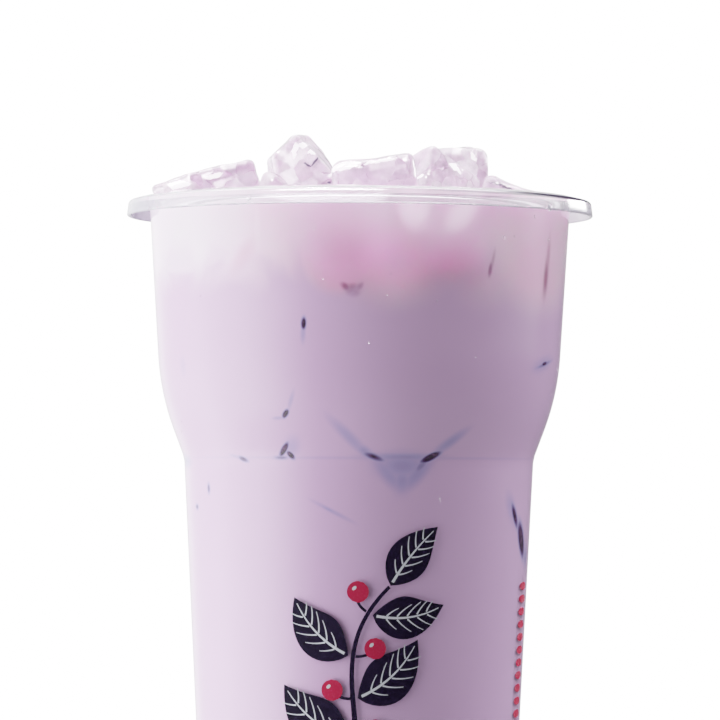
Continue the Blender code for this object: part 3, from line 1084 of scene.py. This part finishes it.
def wet_ice(start):
    """Ice that has cracked into cells: some are clear, some cloudy, and each has a face of its own."""
    place = object_place(start)
    cell, border = crack_cells(place)
    share = cell.node("SeparateColor", None, {0: cell})
    tilt = place.node("VectorMath", {"operation": "SUBTRACT"}, {0: cell, 1: (0.5, 0.5, 0.5)})
    face = place.node("VectorMath", {"operation": "DOT_PRODUCT"}, {0: tilt, 1: place}, "Value")
    relief = (face * CELL_TILT + place.noise(1.3 * MM, detail=2) * ICE_SKIN).bump()
    crack = border.step(CRACK_WIDTH, 0) * place.noise(2.5 * MM).step(0.45, 0.6)
    seen = seen_from_front(place)
    painted_highlights, dark = ovals_on(seen, PAINTED_HIGHLIGHTS), ovals_on(seen, DARK_LINES)
    patches = place.noise(2.2 * MM, detail=5, roughness=0.6).step(0.35, 0.65, -PATCHINESS, PATCHINESS)
    clear = principled(start, Base_Color=CLEAR_ICE, Roughness=0.04, IOR=ICE_IOR,
                       Transmission_Weight=1.0, Normal=relief)
    colour = blended(share.beside("Green"), MILKY_ICE, PINK_ICE)
    colour = blended(crack, colour, CRACK_COLOUR)
    colour = blended(dark, colour, DARK_COLOUR)
    # The milky shader glows white in the painted highlights.
    milky = principled(start, Base_Color=colour, Roughness=0.16, IOR=ICE_IOR,
                       Subsurface_Weight=1.0, Subsurface_Radius=[d * MM for d in ICE_DEPTH],
                       Subsurface_Scale=1.0, Normal=relief, Emission_Strength=PAINTED_HIGHLIGHT_STRENGTH,
                       Emission_Color=blended(painted_highlights, (0, 0, 0), (1, 1, 1)))
    cloudiness = most(share.step(0.15, 0.3, *CLOUDINESS) + patches, painted_highlights, dark,
                      crack * CRACK_CLOUDINESS)
    mixed = start.node("MixShader", None, {0: cloudiness, 1: clear, 2: milky})
    return lit_through(start, mixed, ICE_SHADE)


ICE_FINISH = material("wet ice", wet_ice)
print("nodes in the ice's material:", len(ICE_FINISH.node_tree.nodes))

# %% [markdown]
# ## The drink's solid
#
# The tea is spun from the wall's outline like the cup, but set in so that it reaches a tenth of a
# millimetre into the plastic: a real liquid wets the wall, and a gap would show as a silvery layer of
# air. Its open surface is a fan of fine rings, so that it can rise where it climbs the wall and the ice,
# and Boolean cuts make the hollows that the ice lies in.

# %% Drink
DRINK_LEVEL = 135.9 * MM
INTO_WALL = 0.1 * MM
INTO_ICE = 0.12 * MM
RING_STEP = 0.6 * MM
CLIMB_HEIGHT = 0.3 * MM
CLIMB_REACH = 0.9 * MM
RIPPLE = 0.12 * MM
RIPPLE_SIZE = 5.0 * MM
CUTTER_VOXEL = 0.8 * MM
OPEN_DEPTH = 22.0 * MM  # how far below its level the tea is open, in the hollows of the ice
OPEN_INSET = 0.3 * MM  # how far inside the wall the open tea begins


def drink_outline():
    """Outline of the drink: its floor, its side and its level, from the axis to the axis."""
    inset = WALL - INTO_WALL
    level = BASE_RECESS + BASE_PLATE - INTO_WALL
    side = wall_line(level + FLOOR_ROUNDING, DRINK_LEVEL, inset)
    floor = floor_line(level, side[0][0])[::-1]
    rings = even(side[-1][0], 0, RING_STEP)[1:]
    return [*floor[:-1], *side, *((r, DRINK_LEVEL) for r in rings)]


def climbing(shape):
    """Lifts the open surface where the tea climbs the wall and the ice, and ripples it."""
    edge = wall_radius(DRINK_LEVEL) - WALL + INTO_WALL
    for point in shape.verts:
        if abs(point.co.z - DRINK_LEVEL) > WELD:
            continue
        near = min(edge - point.co.xy.length, abs(off_ice(point.co)))
        point.co.z += CLIMB_HEIGHT * math.exp(-near / CLIMB_REACH)
        point.co.z += RIPPLE * noise.noise(point.co / RIPPLE_SIZE)


def cutter(blocks):
    """One bmesh of coarser, slightly smaller copies of the ice."""
    joined = bmesh.new()
    for block in blocks:
        mesh = bpy.data.meshes.new("cutter")
        block.to_mesh(mesh)
        joined.from_mesh(mesh)
        bpy.data.meshes.remove(mesh)
    joined = modified(joined, "REMESH", mode="VOXEL", voxel_size=CUTTER_VOXEL)
    return pushed(joined, lambda at: -INTO_ICE)


def drink_shape():
    """The drink's solid, with hollows for the ice."""
    shape = spun(drink_outline())
    climbing(shape)
    ice = new_object("all the ice", cutter(ICE_SHAPES.values()), [])
    shape = modified(shape, "BOOLEAN", operation="DIFFERENCE", object=ice)
    bpy.data.objects.remove(ice)
    return shape


def add_drink():
    """Adds the tea, with one material behind the wall and another on top."""
    shape = drink_shape()
    shape.normal_update()
    for face in shape.faces:
        centre = face.calc_center_median()
        inside = wall_radius(min(centre.z, DRINK_LEVEL)) - WALL - centre.xy.length
        face.material_index = int(centre.z > DRINK_LEVEL - OPEN_DEPTH and inside > OPEN_INSET)
    piece("milk_tea", shape, "milk_tea", TEA_FINISH, OPEN_FINISH, stands_for=["drink"])


add_drink()
for ice_node, ice_block in ICE_SHAPES.items():
    piece(ice_node.replace("ice_", "melting_"), ice_block, "ice", ICE_FINISH, stands_for=[ice_node])

# %% [markdown]
# ## Ice sunk in the tea
#
# Each dark mark is the face of a block that touches the wall. Its outline on the wall is a lens, and the
# rest of the block is a rough lump behind it, so the block is the convex hull of both. The touching face
# reaches a little further into the plastic than the tea does, and so it is what shows.

# %% Sunk ice
TOUCH = 0.2 * MM  # how far a touching face reaches into the plastic
SUNK_SEED = 5
SHADED_ICE, SHADED_ICE_CLOUD = (0.022, 0.008, 0.03), (0.09, 0.035, 0.10)
LENS_POINTS = 14
LENS_TAPER = 0.25  # how much fuller a lens is towards its upper end, and slimmer towards its lower end
LUMP = ((3.5, 2.4), (9.0, 4.5))  # mm behind the wall, and half the lump's width there
LUMP_STRAYS = 0.9  # mm that a corner of the lump strays


def lens_outline(shadow):
    """Points on the wall round the middle of a shadow, where ice touches."""
    spot = shadow.spot()
    lean = math.radians(spot.lean)
    points = []
    for i in range(LENS_POINTS):
        angle = 2 * math.pi * i / LENS_POINTS
        along = shadow.touch * spot.tall * math.cos(angle)
        taper = 1 - LENS_TAPER + LENS_TAPER * math.cos(angle)
        across = shadow.touch * spot.wide * math.sin(angle) * taper
        right = along * math.sin(lean) + across * math.cos(lean)
        up = along * math.cos(lean) - across * math.sin(lean)
        turn = math.radians(spot.turn) + right / WRAP
        points.append(on_wall(turn, (spot.height + up) * MM, WALL - TOUCH))
    return points


def sunk_block(shape, shadow, chance):
    """Adds the hull of a touching face's outline and a rough lump behind it."""
    outline = lens_outline(shadow)
    centre = sum(outline, Vector()) / len(outline)
    inwards = Vector((-centre.x, -centre.y, 0)).normalized()
    sideways = inwards.cross(Vector((0, 0, 1)))
    corners = []
    for across in (-1, 1):
        for up in (-1, 1):
            for depth, size in LUMP:
                offset = sideways * across * size + Vector((0, 0, up * size)) + inwards * depth
                stray = Vector([chance.uniform(-LUMP_STRAYS, LUMP_STRAYS) for _ in range(3)])
                corners.append(centre + (offset + stray) * MM)
    points = [shape.verts.new(point) for point in (*outline, *corners)]
    hull = bmesh.ops.convex_hull(shape, input=points)
    spare = [part for part in {*hull["geom_interior"], *hull["geom_unused"]}
             if isinstance(part, bmesh.types.BMVert)]
    bmesh.ops.delete(shape, geom=spare, context="VERTS")


def ice_in_shade(start):
    """Ice that touches the wall, nearly black because no light comes out of it."""
    depth = object_place(start).noise(0.9 * MM, detail=3)
    colour = blended(depth.step(0.4, 0.75), SHADED_ICE, SHADED_ICE_CLOUD)
    return principled(start, Base_Color=colour, Roughness=0.5, Specular_IOR_Level=0.0)


def add_sunk_ice():
    """Adds one sunk block for every shadow in which ice touches the wall."""
    shape = bmesh.new()
    chance = random.Random(SUNK_SEED)
    for shadow in SHADOWS:
        if shadow.touch:
            sunk_block(shape, shadow, chance)
    bmesh.ops.recalc_face_normals(shape, faces=shape.faces)
    for face in shape.faces:
        face.smooth = False
    piece("sunk_ice", shape, "ice", material("ice in the shade of the tea", ice_in_shade))


add_sunk_ice()

# %% [markdown]
# ## Print
#
# Takeaway cups are screen printed: the ink is a film a few hundredths of a millimetre thick. The design is
# a plain sprig with berries, in the print's usual three inks, and a column of ovals further round. Every
# shape in it is a ribbon that follows a line and gets wider and narrower on its way, so one function
# makes the stem, the leaves, their veins and the berries. The design is drawn flat, in millimetres to the
# right of the front and up from the foot, then wrapped round the cup and thickened.


# %% Ribbons of ink
def heading(line, t):
    """The direction of a line at t."""
    return (line(t + 0.01) - line(t - 0.01)).normalized()


def ribbon(design, line, half_width, across, along):
    """Adds a flat ribbon that follows line(t) while t goes from 0 to 1."""
    grid = bmesh.ops.create_grid(design, x_segments=across, y_segments=along, size=1.0)
    for point in grid["verts"]:
        t = (point.co.y + 1) / 2
        ahead = heading(line, t)
        place = line(t) + Vector((ahead.y, -ahead.x)) * (point.co.x * half_width(t))
        point.co = (*place, 0)


def turned(direction, degrees):
    """A flat direction turned to the left."""
    return Matrix.Rotation(math.radians(degrees), 2) @ direction


def bent(start, first, last, length):
    """A line that leaves start in one direction and bends evenly into another."""
    return lambda t: start + (first * t + (last - first) * (t * t / 2)) * length


def oval(design, centre, half_long, half_wide, direction):
    """Adds an oval as a ribbon as wide as the oval is at each place along it."""
    start = centre - direction * half_long
    ribbon(design, bent(start, direction, direction, 2 * half_long),
           lambda t: half_wide * math.sqrt(max(0.0, 1 - (2 * t - 1) ** 2)), 4, 16)


halfway = bent(Vector((0, 0)), Vector((1, 0)), Vector((0, 1)), 10.0)(0.5)
print("a line of 10 mm that bends from right to up is halfway at", [round(value, 2) for value in halfway])

# %% Sprig
STEM = [Vector(point) for point in ((-9, 11), (10, 26), (-11, 42), (6, 59))]
STEM_WIDTH = 0.7  # half of it, in mm as all lengths in the design
LEAVES = 6
LEAF_FROM, LEAF_TO = 0.05, 0.9  # where on the stem the lowest and the highest leaf grow
LONGEST, SHORTEST = 21.0, 15.0
LEAF_PLUMPNESS = 0.27  # half a leaf's width as a share of its length
LEAF_ANGLES = (72, 30)  # degrees off the stem at a leaf's foot and at its tip
VEIN_SHARES = (0.18, 0.32, 0.46, 0.6, 0.74)
VEIN_ANGLES = (50, 28)  # degrees off the leaf's middle at a vein's foot and at its tip
MIDDLE_VEIN, SIDE_VEIN = 0.27, 0.15  # half their widths
BERRY = 2.1  # a berry's radius
BERRY_OFF = 4.0  # from the stem to a berry's centre
BERRY_AHEAD = 0.04  # how much further along the stem a berry is than its stalk
STALK, STALK_WIDTH = 3.0, 0.28  # a stalk's length and half its width
SHINE = Vector((0.7, 0.7))  # the way that the shine on a berry lies


def stem(t):
    """The sprig's stem, a Bezier curve through the first and the last point of STEM."""
    a, b, c, d = STEM
    return a * (1 - t) ** 3 + b * (3 * t * (1 - t) ** 2) + c * (3 * t * t * (1 - t)) + d * t ** 3


def leaf(dark, pale, line, length):
    """Adds a leaf to the dark design and its veins to the pale one."""
    def half_width(t):
        return LEAF_PLUMPNESS * length * math.sin(math.pi * min(1.0, max(0.0, t)) ** 0.8)

    ribbon(dark, line, half_width, 6, 18)
    ribbon(pale, lambda t: line(0.05 + 0.87 * t), lambda t: MIDDLE_VEIN * (1 - 0.7 * t), 1, 12)
    for share in VEIN_SHARES:
        ahead = heading(line, share)
        for way in (-1, 1):
            foot = line(share) + turned(ahead, way * 90) * 0.3
            first, last = (turned(ahead, way * angle) for angle in VEIN_ANGLES)
            vein = bent(foot, first, last, 0.95 * half_width(share))
            ribbon(pale, vein, lambda t: SIDE_VEIN * (1 - 0.6 * t), 1, 5)


def berry(dark, pale, red, t, side, way):
    """Adds a berry with its stalk and its shine, on one side of the stem."""
    stalk = bent(stem(t) + side * 0.5, side, turned(side, way * 40), STALK)
    ribbon(dark, stalk, lambda t: STALK_WIDTH, 1, 6)
    centre = stem(t + BERRY_AHEAD) + side * BERRY_OFF
    oval(red, centre, BERRY, BERRY, heading(stem, t))
    oval(pale, centre + Vector((-SHINE.x, SHINE.y)), 0.5, 0.32, SHINE)


def sprig(dark, pale, red):
    """Draws the sprig: leaves on both sides in turn, a berry opposite each, and one leaf at the end."""
    ribbon(dark, stem, lambda t: STEM_WIDTH * (1 - 0.5 * t), 2, 40)
    for i in range(LEAVES):
        t = LEAF_FROM + (LEAF_TO - LEAF_FROM) * i / (LEAVES - 1)
        way = -1 if i % 2 else 1
        ahead = heading(stem, t)
        outwards = turned(ahead, way * 90)
        length = LONGEST + (SHORTEST - LONGEST) * t
        first, last = (turned(ahead, way * angle) for angle in LEAF_ANGLES)
        leaf(dark, pale, bent(stem(t) + outwards * (STEM_WIDTH + 0.25), first, last, length), length)
        berry(dark, pale, red, t, -outwards, way)
    ahead = heading(stem, 1.0)
    leaf(dark, pale, bent(stem(1.0) + ahead * 0.3, turned(ahead, 16), turned(ahead, -4), SHORTEST),
         SHORTEST)


print("the stem goes up from", STEM[0].y, "to", STEM[-1].y, "mm and bears", LEAVES + 1, "leaves")

# %% Ink on the cup
INK = 0.04 * MM
PRINT_RADIUS = wall_radius(45 * MM)
COLUMN_TURN = math.radians(75)
COLUMN_TOP, COLUMN_BOTTOM, COLUMN_STEP = 58.5, 20.0, 2.5
COLUMN_HALF_LONG, COLUMN_HALF_WIDE = 2.5, 0.8
DARK_INK, DARK_WORN = (0.002, 0.001, 0.005), (0.008, 0.005, 0.014)
RED_INK, RED_WORN = (0.36, 0.013, 0.042), (0.42, 0.03, 0.07)
PALE_INK, PALE_WORN = (0.50, 0.52, 0.58), (0.56, 0.58, 0.64)
DARK_LIFT, RED_LIFT, PALE_LIFT = 0.03 * MM, 0.045 * MM, 0.06 * MM  # each ink lies over the one before


def column(red):
    """Draws a column of lying ovals on the right side."""
    right = COLUMN_TURN * PRINT_RADIUS / MM
    for up in even(COLUMN_TOP, COLUMN_BOTTOM, COLUMN_STEP):
        oval(red, Vector((right, up)), COLUMN_HALF_LONG, COLUMN_HALF_WIDE, Vector((1, 0)))


def printed(design, lift):
    """Wraps a flat design round the cup, its outer face this far off the wall, and makes it solid."""
    for point in design.verts:
        point.co = on_wall(point.co.x * MM / PRINT_RADIUS, point.co.y * MM, -lift)
    bmesh.ops.remove_doubles(design, verts=design.verts, dist=WELD)
    bmesh.ops.solidify(design, geom=design.faces, thickness=INK)
    bmesh.ops.recalc_face_normals(design, faces=design.faces)
    off = [point.co.xy.length - wall_radius(point.co.z) for point in design.verts]
    print("ink from", round(min(off) / MM, 3), "to", round(max(off) / MM, 3), "mm off the wall")
    return design


def ink(name, colour, worn):
    """Matt printing ink, a little worn where noise is high."""
    def film_of_ink(start):
        grain = object_place(start).noise(0.35 * MM, detail=3).step(0.5, 0.75)
        return principled(start, Base_Color=blended(grain, colour, worn), Roughness=0.5,
                          Specular_IOR_Level=0.03)

    return material(name, film_of_ink)


def add_print():
    """Adds the three layers of ink."""
    dark, pale, red = bmesh.new(), bmesh.new(), bmesh.new()
    sprig(dark, pale, red)
    column(red)
    piece("dark_print", printed(dark, DARK_LIFT), "dark_ink", ink("dark ink", DARK_INK, DARK_WORN))
    piece("red_print", printed(red, RED_LIFT), "red_ink", ink("red ink", RED_INK, RED_WORN))
    piece("pale_print", printed(pale, PALE_LIFT), "pale_ink", ink("pale ink", PALE_INK, PALE_WORN))


add_print()

# %% [markdown]
# ## Drops and bubbles
#
# Water from the air has settled on the cold cup as a few small beads, and filling the cup has left a ring
# of bubbles where the tea meets the wall. Both are spheres: a bead is one that is pressed flat against the
# plastic, a bubble is a thin skin that stands half out of the tea.

# %% Drops
DROPS = (  # degrees to the right of the front, mm up, mm across
    (-12.0, 128.8, 0.7), (42.2, 127.6, 0.8), (46.0, 127.9, 0.5), (62.5, 127.8, 0.6),
    (54.5, 132.1, 0.7), (27.0, 76.0, 0.6), (-49.0, 116.0, 0.4), (34.0, 104.0, 0.4),
)
RIM_DROPS = ((-27.0, 134.4, 1.1), (52.1, 133.7, 1.5), (13.0, 134.1, 0.4))
FLAT = 0.5  # a drop's height as a share of its half width
RIM_DROP_SINK = 0.12 * MM
RANDOM_DROPS = 36
RANDOM_HEIGHTS = (88, 131)  # mm
RANDOM_RADII = (0.1, 0.24)  # mm
DROP_SEED = 3


def bead(shape, centre, radius, flat=1.0, subdivisions=3):
    """Adds a sphere, pressed flat along the direction out from the cup's axis."""
    outwards = Vector((centre.x, centre.y, 0)).normalized()
    ball = bmesh.ops.create_icosphere(shape, subdivisions=subdivisions, radius=radius)["verts"]
    for point in ball:
        point.co -= outwards * (outwards.dot(point.co) * (1 - flat))
        point.co += centre


def water(start):
    """Clear water."""
    clear = principled(start, Base_Color=(1, 1, 1, 1), Roughness=0.0, IOR=1.33,
                       Transmission_Weight=1.0)
    return lit_through(start, clear)


def add_drops():
    """Adds the drops of water on the wall and the rim."""
    chance = random.Random(DROP_SEED)
    shape = bmesh.new()
    for turn, height, across in DROPS:
        bead(shape, on_wall(math.radians(turn), height * MM), across / 2 * MM, FLAT)
    for turn, height, across in RIM_DROPS:
        out = Matrix.Rotation(math.radians(turn), 3, "Z") @ Vector((0, -RIM_RADIUS + RIM_DROP_SINK, 0))
        bead(shape, out + Vector((0, 0, height * MM)), across / 2 * MM, FLAT)
    for _ in range(RANDOM_DROPS):
        place = on_wall(chance.uniform(-math.pi, math.pi), chance.uniform(*RANDOM_HEIGHTS) * MM)
        bead(shape, place, chance.uniform(*RANDOM_RADII) * MM, FLAT, 2)
    piece("drops", shape, "ice", material("water", water))


add_drops()

# %% Bubbles
BUBBLES = 150
BUBBLE_SEED = 8
SMALLEST, LARGEST = 0.22, 0.85  # a bubble's radius, mm
BUBBLE_BAND = 9.0 * MM  # how far in from the wall the bubbles reach
BUBBLE_GAP = 0.05 * MM
BUBBLE_RISE = 0.15 * MM  # of a bubble's centre above the tea's level
BUBBLE_SKIN = 0.25  # how much of the view a bubble's skin covers


def bubble_skin(start):
    """A thin, mostly clear skin of milk tea."""
    return principled(start, Base_Color=(0.9, 0.84, 0.9, 1), Roughness=0.05, Alpha=BUBBLE_SKIN)


def add_bubbles():
    """Scatters bubbles round the tea's edge, most of them small, and none inside a block of ice."""
    chance = random.Random(BUBBLE_SEED)
    shape = bmesh.new()
    placed = 0
    while placed < BUBBLES:
        radius = (SMALLEST + (LARGEST - SMALLEST) * chance.random() ** 3) * MM
        edge = wall_radius(DRINK_LEVEL) - WALL - radius - BUBBLE_GAP
        out = edge - chance.random() ** 4 * BUBBLE_BAND
        turn = chance.uniform(-math.pi, math.pi)
        centre = Vector((out * math.sin(turn), -out * math.cos(turn), DRINK_LEVEL + BUBBLE_RISE))
        if off_ice(centre) > radius:
            bead(shape, centre, radius, subdivisions=2)
            placed += 1
    piece("bubbles", shape, "milk_tea", material("bubble skin", bubble_skin))


add_bubbles()
